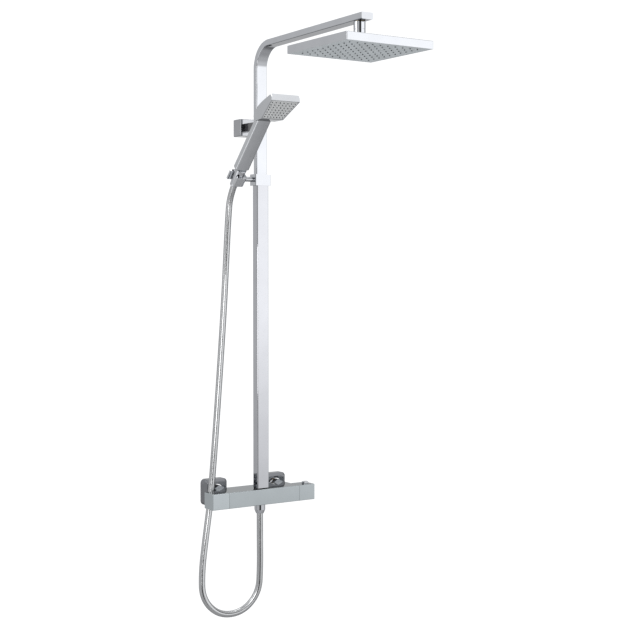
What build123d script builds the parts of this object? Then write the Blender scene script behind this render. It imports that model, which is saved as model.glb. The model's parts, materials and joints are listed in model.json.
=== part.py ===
from build123d import *
import os
from math import cos, radians, sin, tan

# Wall-mounted thermostatic rain shower column with a telescopic riser and a hand shower.
# Millimetres. Origin: midway between the two pipe inlets, on the wall plane.
# +X runs along the bar valve to the right, +Y into the wall, +Z up.

# ---------------------------------------------------------------- driving dimensions
INLET_SPACING = 150.0        # hot to cold pipe centres
PIPE_SOCKET_R = 7.6          # socket for a 15 mm copper pipe
RISER_Y = -82.0              # riser axis, in front of the wall

BAR_HALF = 128.0             # half the bar's length over the knobs
SPLIT_X = 88.0               # end faces of the valve body
KNOB_GAP = 0.4
BAR_FRONT_Y = -98.7
KNOB_DEPTH = 36.8
BODY_BACK_Y = -34.0
BAR_TOP_Z = 10.5
BAR_HEIGHT = 34.0
BAR_BOTTOM_Z = BAR_TOP_Z - BAR_HEIGHT
KNOB_AXIS_Y = BAR_FRONT_Y + KNOB_DEPTH / 2
KNOB_AXIS_Z = BAR_TOP_Z - BAR_HEIGHT / 2
EDGE_R = 1.2

RISER_W = 28.8               # outer (lower) tube, X by Y
RISER_D = 19.7
RISER_TOP_Z = 672.0
INNER_W = 26.4               # inner (upper) tube and arm
INNER_D = 13.2
INNER_Y = RISER_Y + 1.0
INNER_BOTTOM_Z = 455.0
TUBE_WALL = 1.0
ARM_CORNER_Z = 956.8         # where the riser and arm centre lines would cross
ARM_RISE_DEG = 0.75          # the arm climbs a little towards its tip
ARM_TIP_Y = -469.6
BEND_R = 50.0

COLLAR_Z = 660.5             # underside of the collar at the telescopic joint
COLLAR_H = 24.0
COLLAR_W = 38.2
COLLAR_D = 24.0
COLLAR_X = -0.5

HOLDER_X = -56.5             # centre of the hand shower and its holder
HOLDER_Z = 673.5             # axis of the holder's pivot pin
PIN_R = 5.25
HAND_TILT = 43.5             # hand shower, degrees forward from upright
HAND_Y0 = 3.5                # hand shower axis behind the pivot, across the handle

HEAD_SIDE = 200.0            # rain head
HEAD_Y = -444.4
HEAD_BOTTOM_Z = 897.7
HEAD_H = 15.5
SWIVEL_Z = 938.5             # centre of the ball joint
BALL_R = 9.0

BRACKET_Z = 788.5            # upper wall bracket
BRACKET_SIDE = 37.0
BRACKET_DEPTH = 30.5
STEM_SIDE = 17.4

HOSE_D = 14.0
THREAD_R = 10.4              # G1/2 male thread, crest radius
FIT = 0.05                   # radial clearance of running fits

os.makedirs("parts", exist_ok=True)


# ---------------------------------------------------------------- helpers
def save(name, *solids):
    shape = solids[0] if len(solids) == 1 else Compound(list(solids))
    export_step(shape, f"parts/{name}.step")


def block(x0, x1, y0, y1, z0, z1):
    centre = Pos((x0 + x1) / 2, (y0 + y1) / 2, (z0 + z1) / 2)
    return centre * Box(x1 - x0, y1 - y0, z1 - z0)


def rod_x(r, x0, x1, y, z):
    return Pos((x0 + x1) / 2, y, z) * Rot(0, 90, 0) * Cylinder(r, x1 - x0)


def rod_y(r, y0, y1, x, z):
    return Pos(x, (y0 + y1) / 2, z) * Rot(90, 0, 0) * Cylinder(r, y1 - y0)


def rod_z(r, z0, z1, x=0.0, y=0.0):
    return Pos(x, y, (z0 + z1) / 2) * Cylinder(r, z1 - z0)


def cone_z(r_low, r_high, z0, z1, x=0.0, y=0.0):
    return Pos(x, y, (z0 + z1) / 2) * Cone(r_low, r_high, z1 - z0)


def bar_x(w_y, w_z, r, x0, x1, y, z):
    """Rounded rectangular bar along X."""
    plane = Plane(origin=(x0, y, z), x_dir=(0, 1, 0), z_dir=(1, 0, 0))
    return extrude(plane * RectangleRounded(w_y, w_z, r), amount=x1 - x0)


def bar_y(w_x, w_z, r, y0, y1, x, z):
    """Rounded rectangular bar along Y."""
    plane = Plane(origin=(x, y1, z), x_dir=(1, 0, 0), z_dir=(0, -1, 0))
    return extrude(plane * RectangleRounded(w_x, w_z, r), amount=y1 - y0)


def bar_z(w_x, w_y, r, z0, z1, x=0.0, y=0.0):
    """Rounded rectangular bar along Z."""
    return extrude(Pos(x, y, z0) * RectangleRounded(w_x, w_y, r), amount=z1 - z0)


def hex_y(across_flats, y0, y1, x, z):
    """Hexagonal prism along Y with two flats upright."""
    plane = Plane(origin=(x, y1, z), x_dir=(1, 0, 0), z_dir=(0, -1, 0))
    outline = RegularPolygon(across_flats / 2, 6, major_radius=False, rotation=30)
    return extrude(plane * outline, amount=y1 - y0)


def frame_ring(w_x, w_y, r, wall, z0, z1, x, y):
    """Rectangular O-ring around a tube, lying flat."""
    outer = bar_z(w_x, w_y, r, z0, z1, x, y)
    return outer - bar_z(w_x - 2 * wall, w_y - 2 * wall, r - wall / 2, z0, z1, x, y)


# ---------------------------------------------------------------- wall connections
NUT_AF = 30.0
CONNECTOR_R = 13.2
CONNECTOR_END_Y = -24.0
STUB_R = 10.0
STUB_BORE_R = 8.1
FLANGE_SIDE = 57.0
FLANGE_DEPTH = 21.0


def inlet_connector(x):
    """Compression socket for the pipe, with a 3/4 inch male thread towards the valve."""
    part = rod_y(CONNECTOR_R, CONNECTOR_END_Y, 0, x, 0)
    part += hex_y(NUT_AF, -9, -3, x, 0)
    part -= rod_y(PIPE_SOCKET_R, -18, 0, x, 0)
    return part - rod_y(6.4, CONNECTOR_END_Y, -17, x, 0)


def wall_flange(x):
    """Rounded square cover with a broad bevelled rim, hollow behind."""
    part = bar_y(FLANGE_SIDE, FLANGE_SIDE, 9.5, -FLANGE_DEPTH, 0, x, 0)
    front = part.faces().sort_by(Axis.Y)[0]
    part = chamfer(front.outer_wire().edges(), 6.0)
    front = part.faces().sort_by(Axis.Y)[0]
    part = fillet(front.outer_wire().edges(), 1.5)
    part -= bar_y(FLANGE_SIDE - 6, FLANGE_SIDE - 6, 7, -FLANGE_DEPTH + 9, 0, x, 0)
    part -= bar_y(FLANGE_SIDE - 16, FLANGE_SIDE - 16, 5, -FLANGE_DEPTH + 1.6, 0, x, 0)
    return part - rod_y(17.7, -FLANGE_DEPTH, 0, x, 0)


def union_nut(x):
    """Captive hexagon nut that draws the valve onto the wall connector."""
    part = hex_y(NUT_AF, -33.6, -17, x, 0)
    part &= rod_y(NUT_AF / 2 + 1.6, -33.6, -17, x, 0)
    part -= rod_y(CONNECTOR_R + FIT, -28, -17, x, 0)
    return part - rod_y(STUB_R + 0.1, -33.6, -28, x, 0)


def filter_washer(x):
    ring = rod_y(12.4, -26, CONNECTOR_END_Y, x, 0)
    return ring - rod_y(7.0, -26, CONNECTOR_END_Y, x, 0)


def check_valve(x):
    """Non-return cartridge: sleeve, spider and poppet in one piece."""
    part = rod_y(8.0, -40, -27, x, 0) - rod_y(6.2, -40, -27, x, 0)
    part += rod_y(3.2, -38, -29, x, 0)
    part += block(x - 7, x + 7, -35, -33, -0.8, 0.8)
    return part + block(x - 0.8, x + 0.8, -35, -33, -7, 7)


inlets = (-INLET_SPACING / 2, INLET_SPACING / 2)
save("inlet_connectors", *[inlet_connector(x) for x in inlets])
save("wall_flanges", *[wall_flange(x) for x in inlets])
save("union_nuts", *[union_nut(x) for x in inlets])
save("inlet_filter_washers", *[filter_washer(x) for x in inlets])
save("check_valves", *[check_valve(x) for x in inlets])

# ---------------------------------------------------------------- valve body
THERMO_BORE_R = 13.0
THERMO_BORE_X = 32.0         # inner end of the thermostatic cartridge's bore
FLOW_BORE_R = 12.0
FLOW_BORE_X = -44.0          # inner end of the diverter cartridge's bore
CHANNEL_R = 4.0
HOT_CHANNEL = (-50.0, -2.0)  # Y, Z of the hot water channel
MIXED_CHANNEL = (-55.0, -15.0)
RISER_CHANNEL_Z = 1.0
OUTLET_Y = -77.0             # hose outlet, under the bar
HOSE_CHANNEL_Z = -15.0
PORT_FLOOR_Z = 4.0           # floor of the riser port in the bar's top
PORT_R = 7.5
OUTLET_ROOF_Z = -14.0        # roof of the hose outlet's threaded hole


def valve_body():
    part = block(-SPLIT_X, SPLIT_X, BAR_FRONT_Y, BODY_BACK_Y, BAR_BOTTOM_Z, BAR_TOP_Z)
    part = fillet(part.edges().filter_by(Axis.X), EDGE_R)
    for x in inlets:
        part += rod_y(STUB_R, BODY_BACK_Y, -28, x, 0)
        part += rod_y(12.4, -28, -26, x, 0)
        part -= rod_y(STUB_BORE_R, -41, -26, x, 0)
    part -= rod_x(THERMO_BORE_R, THERMO_BORE_X, SPLIT_X, KNOB_AXIS_Y, KNOB_AXIS_Z)
    part -= rod_x(FLOW_BORE_R, -SPLIT_X, FLOW_BORE_X, KNOB_AXIS_Y, KNOB_AXIS_Z)
    # cold water, straight from the right inlet to the thermostatic cartridge
    part -= rod_y(6, -72, -40, inlets[1], 0)
    # hot water, from the left inlet along the back of the bar
    part -= rod_y(6, HOT_CHANNEL[0], -40, inlets[0], 0)
    part -= rod_x(CHANNEL_R, inlets[0], 46, *HOT_CHANNEL)
    part -= rod_y(CHANNEL_R, -72, HOT_CHANNEL[0], 46, HOT_CHANNEL[1])
    # mixed water, from the thermostatic cartridge to the diverter
    part -= rod_x(CHANNEL_R, -60, 38, *MIXED_CHANNEL)
    part -= rod_y(CHANNEL_R, -72, MIXED_CHANNEL[0], 38, MIXED_CHANNEL[1])
    part -= rod_y(CHANNEL_R, -72, MIXED_CHANNEL[0], -60, MIXED_CHANNEL[1])
    # diverter to riser, and diverter to hose
    part -= rod_x(CHANNEL_R, FLOW_BORE_X - 1, 0, RISER_Y, RISER_CHANNEL_Z)
    part -= rod_z(CHANNEL_R, RISER_CHANNEL_Z, PORT_FLOOR_Z + 1, 0, RISER_Y)
    part -= rod_z(PORT_R, PORT_FLOOR_Z, BAR_TOP_Z, 0, RISER_Y)
    part -= rod_x(CHANNEL_R, FLOW_BORE_X - 1, 0, OUTLET_Y, HOSE_CHANNEL_Z)
    part -= rod_z(THREAD_R + FIT, BAR_BOTTOM_Z, OUTLET_ROOF_Z, 0, OUTLET_Y)
    return part


def outlet_nipple():
    """G1/2 male hose outlet, screwed into the bar from below."""
    part = rod_z(THREAD_R, -35, OUTLET_ROOF_Z, 0, OUTLET_Y)
    return part - rod_z(4.5, -35, OUTLET_ROOF_Z, 0, OUTLET_Y)


save("valve_body", valve_body())
save("hose_outlet_nipple", outlet_nipple())

# ---------------------------------------------------------------- cartridges and spindles
SPINDLE_R = 4.0
SPLINE_R = 4.6
KNOB_IN = SPLIT_X + KNOB_GAP
SPINDLE_END = 112.0
SHUTTLE_R = 8.9
axis_yz = (KNOB_AXIS_Y, KNOB_AXIS_Z)


def splined_spindle(x_in, x_out):
    """Round spindle with a twelve-sided drive end in the knob."""
    spline_from = KNOB_IN + 9
    direction = 1 if x_out > 0 else -1
    part = rod_x(SPINDLE_R, min(x_in, x_out), max(x_in, x_out), *axis_yz)
    plane = Plane(origin=(direction * spline_from, *axis_yz), x_dir=(0, 1, 0),
                  z_dir=(direction, 0, 0))
    drive = RegularPolygon(SPLINE_R, 12)
    return part + extrude(plane * drive, amount=SPINDLE_END - spline_from)


def thermostatic_cartridge():
    part = rod_x(THERMO_BORE_R - 0.1, THERMO_BORE_X + 2, 82, *axis_yz)
    part -= rod_x(9.0, 36, 70, *axis_yz)
    part -= rod_x(SPINDLE_R + FIT, 70, 82, *axis_yz)
    part -= rod_x(3.0, THERMO_BORE_X, 37, *axis_yz)
    for x in (46, inlets[1]):
        collar = rod_x(THERMO_BORE_R, x - 5, x + 5, *axis_yz)
        part -= collar - rod_x(10.4, x - 5, x + 5, *axis_yz)
    part -= rod_z(2.2, KNOB_AXIS_Z - 13, KNOB_AXIS_Z + 13, 46, KNOB_AXIS_Y)
    return part - rod_y(2.2, KNOB_AXIS_Y - 13, KNOB_AXIS_Y + 13, 62, KNOB_AXIS_Z)


def mixing_shuttle():
    part = rod_x(SHUTTLE_R, 50, 60, *axis_yz)
    groove = rod_x(SHUTTLE_R, 54, 56, *axis_yz) - rod_x(7.9, 54, 56, *axis_yz)
    return part - groove - rod_x(3.6, 50, 60, *axis_yz)


def thermostat_element():
    return rod_x(3.5, 40, 62, *axis_yz) + rod_x(2.0, 62, 70.5, *axis_yz)


def shuttle_spring():
    ring = 6.6
    coil = Helix(pitch=3.0, height=12.0, radius=ring)
    section = Plane(origin=coil @ 0, z_dir=coil % 0) * Circle(0.6)
    spring = sweep(section, path=coil, is_frenet=True)
    return Pos(36.7, *axis_yz) * Rot(0, 90, 0) * spring


def flow_cartridge():
    part = rod_x(FLOW_BORE_R - 0.1, -82, FLOW_BORE_X - 1.5, *axis_yz)
    part -= rod_x(9.2, -62, FLOW_BORE_X, *axis_yz)
    part -= rod_x(SPINDLE_R + FIT, -82, -61, *axis_yz)
    return part - rod_y(3.5, KNOB_AXIS_Y, KNOB_AXIS_Y + 13, -60, KNOB_AXIS_Z)


def fixed_disc():
    part = rod_x(9.0, -50.5, -47, *axis_yz)
    part -= rod_x(2.6, -50.5, -47, KNOB_AXIS_Y, KNOB_AXIS_Z + 5)
    return part - rod_x(2.6, -50.5, -47, KNOB_AXIS_Y, KNOB_AXIS_Z - 5)


def moving_disc():
    part = rod_x(8.8, -54.2, -50.7, *axis_yz)
    part -= rod_x(4.1, -54.2, -52.6, *axis_yz)
    return part - rod_x(2.6, -54.2, -50.7, KNOB_AXIS_Y, KNOB_AXIS_Z + 5.6)


def cartridge_nut(x0, x1, r):
    part = rod_x(r, x0, x1, *axis_yz)
    return part - rod_x(SPINDLE_R + 0.6, x0, x1, *axis_yz)


save("thermostatic_cartridge", thermostatic_cartridge())
save("mixing_shuttle", mixing_shuttle())
save("thermostat_element", thermostat_element())
save("shuttle_spring", shuttle_spring())
save("temperature_spindle", splined_spindle(71, SPINDLE_END))
save("flow_cartridge", flow_cartridge())
save("ceramic_disc_fixed", fixed_disc())
save("ceramic_disc_moving", moving_disc())
save("flow_spindle", splined_spindle(-52.8, -SPINDLE_END))
save("cartridge_nuts",
     cartridge_nut(82.1, 87.6, THERMO_BORE_R - 0.1),
     cartridge_nut(-87.6, -82.1, FLOW_BORE_R - 0.1))

# ---------------------------------------------------------------- knobs and safety button
KNOB_WALL = 3.0
BOSS_R = 8.0
BUTTON_X = 113.0
BUTTON_Y = -83.0
BUTTON_W = 12.0
BUTTON_D = 10.0
BUTTON_TOP_Z = BAR_TOP_Z + 5.0
BUTTON_FOOT_Z = 5.2
BUTTON_ROOF_Z = 12.0         # roof of the spring's pocket inside the button
BUTTON_SEAT_Z = 2.2
SCREW_X = 103.0              # grub screw, under each knob


def knob(direction):
    """Square knob, hollow, with a splined boss."""
    near, far = sorted((direction * KNOB_IN, direction * BAR_HALF))
    part = bar_x(KNOB_DEPTH, BAR_HEIGHT, EDGE_R, near, far, *axis_yz)
    end_face = part.faces().sort_by(Axis.X)[-1 if direction > 0 else 0]
    part = fillet(end_face.edges(), EDGE_R - 0.2)
    inner = sorted((direction * KNOB_IN, direction * (BAR_HALF - KNOB_WALL)))
    pocket = bar_x(KNOB_DEPTH - 2 * KNOB_WALL, BAR_HEIGHT - 2 * KNOB_WALL, 3, *inner, *axis_yz)
    boss = sorted((direction * (KNOB_IN + 8), direction * (BAR_HALF - KNOB_WALL)))
    part = part - pocket + rod_x(BOSS_R, *boss, *axis_yz)
    socket = sorted((direction * (KNOB_IN + 8), direction * (SPINDLE_END + 0.5)))
    part -= rod_x(SPLINE_R + 0.1, *socket, *axis_yz)
    return part - rod_z(2.05, BAR_BOTTOM_Z, KNOB_AXIS_Z, direction * SCREW_X, KNOB_AXIS_Y)


def knob_screw(direction):
    tip_z = KNOB_AXIS_Z - SPLINE_R - 0.2
    part = rod_z(2.0, tip_z - 9, tip_z, direction * SCREW_X, KNOB_AXIS_Y)
    plane = Plane(origin=(direction * SCREW_X, KNOB_AXIS_Y, tip_z - 9))
    socket = extrude(plane * RegularPolygon(1.0, 6, major_radius=False), amount=2)
    return part - socket


def temperature_knob():
    """Right knob, with a hole for the button and a seat for its spring."""
    hole = bar_z(BUTTON_W + 0.6, BUTTON_D + 0.6, 2.3, 5, BAR_TOP_Z + 1, BUTTON_X, BUTTON_Y)
    seat = rod_z(4.0, KNOB_AXIS_Z + 6, BUTTON_SEAT_Z, BUTTON_X, BUTTON_Y)
    return knob(1) - hole + seat


def temperature_button():
    """Push button, hollow for its spring, with a skirt under the knob's top wall."""
    part = bar_z(BUTTON_W, BUTTON_D, 2.0, BUTTON_FOOT_Z, BUTTON_TOP_Z, BUTTON_X, BUTTON_Y)
    part = fillet(part.faces().sort_by(Axis.Z)[-1].edges(), 1.0)
    skirt = (BUTTON_W + 3, BUTTON_D + 3, 2.5)
    part += bar_z(*skirt, BUTTON_FOOT_Z, BUTTON_FOOT_Z + 2, BUTTON_X, BUTTON_Y)
    return part - rod_z(3.7, BUTTON_FOOT_Z, BUTTON_ROOF_Z, BUTTON_X, BUTTON_Y)


def button_spring():
    coil = Helix(pitch=1.8, height=9.0, radius=2.9)
    section = Plane(origin=coil @ 0, z_dir=coil % 0) * Circle(0.35)
    spring = sweep(section, path=coil, is_frenet=True)
    return Pos(BUTTON_X, BUTTON_Y, BUTTON_SEAT_Z + 0.4) * spring


save("flow_knob", knob(-1))
save("flow_knob_screw", knob_screw(-1))
save("temperature_knob", temperature_knob())
save("temperature_knob_screw", knob_screw(1))
save("temperature_button", temperature_button())
save("button_spring", button_spring())

# ---------------------------------------------------------------- lower riser and collar
GASKET_H = 1.5
TUBE_FOOT_Z = BAR_TOP_Z + GASKET_H
SPIGOT_TOP_Z = 40.0
SPIGOT_W = RISER_W - 2 * TUBE_WALL - 0.4
SPIGOT_D = RISER_D - 2 * TUBE_WALL - 0.4
RING_ZS = (29.0, 34.0)
FIXING_Z = 20.0
RISER_BACK_Y = RISER_Y + RISER_D / 2


def riser_gasket():
    part = bar_z(RISER_W - 1.6, RISER_D - 1.6, 2, BAR_TOP_Z, TUBE_FOOT_Z, 0, RISER_Y)
    return part - rod_z(PORT_R + 0.1, BAR_TOP_Z, TUBE_FOOT_Z, 0, RISER_Y)


def riser_spigot():
    """Brass spigot that plugs into the bar and carries the riser tube."""
    part = bar_z(SPIGOT_W, SPIGOT_D, 1.4, TUBE_FOOT_Z, SPIGOT_TOP_Z, 0, RISER_Y)
    part += rod_z(PORT_R - 0.05, PORT_FLOOR_Z + 0.2, TUBE_FOOT_Z, 0, RISER_Y)
    for z in RING_ZS:
        part -= frame_ring(SPIGOT_W + 1, SPIGOT_D + 1, 2, 1.9, z, z + 2, 0, RISER_Y)
    part -= rod_z(4.5, PORT_FLOOR_Z, SPIGOT_TOP_Z, 0, RISER_Y)
    return part - rod_y(2.05, RISER_BACK_Y - 4.5, RISER_BACK_Y, 0, FIXING_Z)


def riser_rings():
    size = (SPIGOT_W + 0.3, SPIGOT_D + 0.3, 1.7, 1.5)
    return [frame_ring(*size, z + 0.1, z + 1.9, 0, RISER_Y) for z in RING_ZS]


def riser_fixing_screw():
    part = rod_y(2.0, RISER_BACK_Y - 4, RISER_BACK_Y, 0, FIXING_Z)
    return part + rod_y(3.6, RISER_BACK_Y, RISER_BACK_Y + 1.6, 0, FIXING_Z)


def riser_lower_tube():
    part = bar_z(RISER_W, RISER_D, 2.5, TUBE_FOOT_Z, RISER_TOP_Z, 0, RISER_Y)
    inner = (RISER_W - 2 * TUBE_WALL, RISER_D - 2 * TUBE_WALL, 1.5)
    part -= bar_z(*inner, TUBE_FOOT_Z, RISER_TOP_Z, 0, RISER_Y)
    return part - rod_y(2.1, RISER_BACK_Y - 2, RISER_BACK_Y + 1, 0, FIXING_Z)


COLLAR_TOP_Z = COLLAR_Z + COLLAR_H
BUSH_Z = RISER_TOP_Z + 0.2
BUSH_TOP_Z = COLLAR_TOP_Z - 3.0
CLAMP_Z = 677.0
PIN_HOLE_X = -15.2


def collar():
    """Block over the telescopic joint. It holds the bush and carries the pivot pin."""
    part = bar_z(COLLAR_W, COLLAR_D, 1.6, COLLAR_Z, COLLAR_TOP_Z, COLLAR_X, RISER_Y)
    part -= bar_z(RISER_W + 0.1, RISER_D + 0.1, 2.5, COLLAR_Z, RISER_TOP_Z + 0.1, 0, RISER_Y)
    part -= bar_z(30, 19, 2.4, RISER_TOP_Z, BUSH_TOP_Z, 0, RISER_Y)
    part -= bar_z(INNER_W + 0.6, INNER_D + 0.6, 2, BUSH_TOP_Z - 1, COLLAR_TOP_Z, 0, INNER_Y)
    part -= rod_x(PIN_R + 0.02, COLLAR_X - COLLAR_W / 2, PIN_HOLE_X, RISER_Y, HOLDER_Z)
    return part - rod_y(2.55, RISER_Y + 5, RISER_Y + COLLAR_D / 2, 0, CLAMP_Z)


def telescope_bush():
    part = bar_z(29.8, 18.8, 2.3, BUSH_Z, BUSH_TOP_Z - 0.1, 0, RISER_Y)
    part -= bar_z(INNER_W + 0.3, INNER_D + 0.3, 2, BUSH_Z, BUSH_TOP_Z, 0, INNER_Y)
    return part - rod_y(2.7, RISER_Y + 5, RISER_Y + COLLAR_D / 2, 0, CLAMP_Z)


def collar_screw():
    tip_y = INNER_Y + INNER_D / 2 + 0.3
    end_y = RISER_Y + COLLAR_D / 2 - 0.2
    part = rod_y(2.5, tip_y, end_y, 0, CLAMP_Z)
    plane = Plane(origin=(0, end_y, CLAMP_Z), x_dir=(1, 0, 0), z_dir=(0, -1, 0))
    return part - extrude(plane * RegularPolygon(1.25, 6, major_radius=False), amount=2)


save("riser_base_gasket", riser_gasket())
save("riser_spigot", riser_spigot())
save("riser_spigot_rings", *riser_rings())
save("riser_fixing_screw", riser_fixing_screw())
save("riser_lower_tube", riser_lower_tube())
save("slide_collar", collar())
save("telescope_bush", telescope_bush())
save("collar_screw", collar_screw())

# ---------------------------------------------------------------- upper riser and arm
ARM_RISE = tan(radians(ARM_RISE_DEG))
TUBE_END_Y = ARM_TIP_Y + 2.0


def arm_z(y):
    """Height of the arm's centre line."""
    return ARM_CORNER_Z + ARM_RISE * (INNER_Y - y)


PISTON_H = 25.0
SOLE_Z = INNER_BOTTOM_Z - PISTON_H
PISTON_W = RISER_W - 2 * TUBE_WALL - 0.3
PISTON_D = RISER_D - 2 * TUBE_WALL - 0.3
PISTON_RING_ZS = (435.0, 443.0)
arm_path = FilletPolyline(
    (0, INNER_Y, INNER_BOTTOM_Z),
    (0, INNER_Y, ARM_CORNER_Z),
    (0, TUBE_END_Y, arm_z(TUBE_END_Y)),
    radius=BEND_R,
)


def swept_tube(w, d, r):
    start = Plane(origin=(0, INNER_Y, INNER_BOTTOM_Z), x_dir=(1, 0, 0), z_dir=(0, 0, 1))
    return sweep(start * RectangleRounded(w, d, r), path=arm_path)


def upper_tube():
    part = swept_tube(INNER_W, INNER_D, 2.0)
    part -= swept_tube(INNER_W - 2 * TUBE_WALL, INNER_D - 2 * TUBE_WALL, 1.0)
    part -= rod_z(8.1, arm_z(HEAD_Y) - 8, arm_z(HEAD_Y) - 3, 0, HEAD_Y)
    return part - rod_y(2.5, INNER_Y + 4, INNER_Y + 8, 0, BRACKET_Z)


def arm_end_cap():
    outline = Plane(origin=(0, TUBE_END_Y, arm_z(TUBE_END_Y)), x_dir=(1, 0, 0),
                    z_dir=(0, -cos(radians(ARM_RISE_DEG)), sin(radians(ARM_RISE_DEG))))
    plate = extrude(outline * RectangleRounded(INNER_W, INNER_D, 2.0), amount=2.0)
    plug = RectangleRounded(INNER_W - 2 * TUBE_WALL - 0.2, INNER_D - 2 * TUBE_WALL - 0.2, 0.9)
    return plate + extrude(outline * plug, amount=-6.0)


def telescope_piston():
    """Plug at the foot of the upper tube that seals inside the lower one."""
    part = bar_z(PISTON_W, PISTON_D, 1.4, SOLE_Z, INNER_BOTTOM_Z, 0, RISER_Y)
    part += bar_z(INNER_W - 2.2, INNER_D - 2.2, 0.9, INNER_BOTTOM_Z, INNER_BOTTOM_Z + 15, 0, INNER_Y)
    for z in PISTON_RING_ZS:
        part -= frame_ring(PISTON_W + 1, PISTON_D + 1, 2, 2.0, z, z + 2, 0, RISER_Y)
    return part - rod_z(4.2, SOLE_Z, INNER_BOTTOM_Z + 15, 0, INNER_Y)


def piston_rings():
    size = (PISTON_W + 0.2, PISTON_D + 0.2, 1.6, 1.4)
    return [frame_ring(*size, z + 0.1, z + 1.9, 0, RISER_Y) for z in PISTON_RING_ZS]


save("riser_upper_tube", upper_tube())
save("arm_end_cap", arm_end_cap())
save("telescope_piston", telescope_piston())
save("telescope_rings", *piston_rings())

# ---------------------------------------------------------------- upper wall bracket
COVER_WALL = 2.0
PLATE_T = 4.0
SCREW_PITCH = 25.0
INNER_BACK_Y = INNER_Y + INNER_D / 2


def bracket_stem():
    part = bar_y(STEM_SIDE, STEM_SIDE, 1.5, INNER_BACK_Y, -PLATE_T, 0, BRACKET_Z)
    part -= rod_y(2.45, INNER_BACK_Y, INNER_BACK_Y + 14, 0, BRACKET_Z)
    return part - rod_y(2.45, -18, -PLATE_T, 0, BRACKET_Z)


def bracket_cover():
    """Square cover that hides the wall plate and slides on the stem."""
    part = bar_y(BRACKET_SIDE, BRACKET_SIDE, 2.0, -BRACKET_DEPTH, 0, 0, BRACKET_Z)
    part = fillet(part.faces().sort_by(Axis.Y)[0].edges(), 1.2)
    inner = BRACKET_SIDE - 2 * COVER_WALL
    part -= bar_y(inner, inner, 1.0, -BRACKET_DEPTH + COVER_WALL, 0, 0, BRACKET_Z)
    hole = STEM_SIDE + 0.3
    part -= bar_y(hole, hole, 1.5, -BRACKET_DEPTH, 0, 0, BRACKET_Z)
    bottom_z = BRACKET_Z - BRACKET_SIDE / 2
    return part - rod_z(2.05, bottom_z - 1, bottom_z + 4, 0, -24)


def bracket_plate():
    part = bar_y(32, 32, 2, -PLATE_T, 0, 0, BRACKET_Z)
    for dz in (-SCREW_PITCH / 2, SCREW_PITCH / 2):
        part -= rod_y(2.1, -PLATE_T, 0, 0, BRACKET_Z + dz)
    return part - rod_y(2.6, -PLATE_T, 0, 0, BRACKET_Z)


def bracket_screws():
    """One screw inside the riser and one through the wall plate, both into the stem."""
    tube_side = rod_y(2.4, INNER_BACK_Y - TUBE_WALL, INNER_BACK_Y + 12, 0, BRACKET_Z)
    tube_side += rod_y(4.2, INNER_BACK_Y - 3.5, INNER_BACK_Y - TUBE_WALL, 0, BRACKET_Z)
    plate_side = rod_y(2.4, -16, -0.3, 0, BRACKET_Z)
    return tube_side, plate_side


def bracket_cover_screw():
    bottom_z = BRACKET_Z - BRACKET_SIDE / 2
    return rod_z(2.0, bottom_z + 0.3, BRACKET_Z - STEM_SIDE / 2, 0, -24)


save("bracket_stem", bracket_stem())
save("bracket_cover", bracket_cover())
save("bracket_wall_plate", bracket_plate())
save("bracket_screws", *bracket_screws())
save("bracket_cover_screw", bracket_cover_screw())

# ---------------------------------------------------------------- rain head and ball joint
NIPPLE_TOP_Z = 954.7
NIPPLE_FOOT_Z = 948.0
NUT_FOOT_Z = 929.0
NUT_R = 11.5
LIP_R = 7.9
STUD_R = 4.0
LINER_R = 9.5
HEAD_TOP_Z = HEAD_BOTTOM_Z + HEAD_H
SHEET = 1.2
HEAD_BOSS_R = 14.0
HEAD_BOSS_FOOT_Z = 910.5
HEAD_BOSS_TOP_Z = 922.0
HEAD_NOZZLES = 10            # along each side
HEAD_PITCH = 17.4
NOZZLE_R = 1.7


def arm_nipple():
    part = rod_z(THREAD_R, NIPPLE_FOOT_Z, NIPPLE_TOP_Z, 0, HEAD_Y)
    part += rod_z(8.0, NIPPLE_TOP_Z, arm_z(HEAD_Y) - 1.5, 0, HEAD_Y)
    return part - rod_z(5.0, NIPPLE_FOOT_Z, arm_z(HEAD_Y), 0, HEAD_Y)


def swivel_nut():
    part = rod_z(NUT_R, NUT_FOOT_Z, NIPPLE_TOP_Z - 0.2, 0, HEAD_Y)
    part = chamfer(part.faces().sort_by(Axis.Z)[0].edges(), 1.5)
    part = chamfer(part.faces().sort_by(Axis.Z)[-1].edges(), 0.8)
    groove = rod_z(NUT_R + 1, SWIVEL_Z, SWIVEL_Z + 1.2, 0, HEAD_Y)
    part -= groove - rod_z(NUT_R - 0.5, SWIVEL_Z, SWIVEL_Z + 1.2, 0, HEAD_Y)
    part -= rod_z(THREAD_R + FIT, NIPPLE_FOOT_Z, NIPPLE_TOP_Z, 0, HEAD_Y)
    part -= rod_z(LINER_R + 0.15, SWIVEL_Z - 4.4, NIPPLE_FOOT_Z, 0, HEAD_Y)
    return part - rod_z(LIP_R, NUT_FOOT_Z, NIPPLE_FOOT_Z, 0, HEAD_Y)


def ball_liner():
    """Thin spherical bearing ring between the ball and the nut."""
    centre = Pos(0, HEAD_Y, SWIVEL_Z)
    shell = centre * Sphere(LINER_R) - centre * Sphere(BALL_R + FIT)
    return shell & rod_z(LINER_R + 1, SWIVEL_Z - 2.2, SWIVEL_Z + 2.2, 0, HEAD_Y)


def ball_stud():
    part = Pos(0, HEAD_Y, SWIVEL_Z) * Sphere(BALL_R)
    part -= rod_z(BALL_R, SWIVEL_Z + 6.5, SWIVEL_Z + 10, 0, HEAD_Y)
    part += rod_z(STUD_R, 906, SWIVEL_Z, 0, HEAD_Y)
    part += rod_z(7.0, 907.5, HEAD_BOSS_FOOT_Z - 0.2, 0, HEAD_Y)
    return part - rod_z(2.2, 906, SWIVEL_Z + 10, 0, HEAD_Y)


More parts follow.
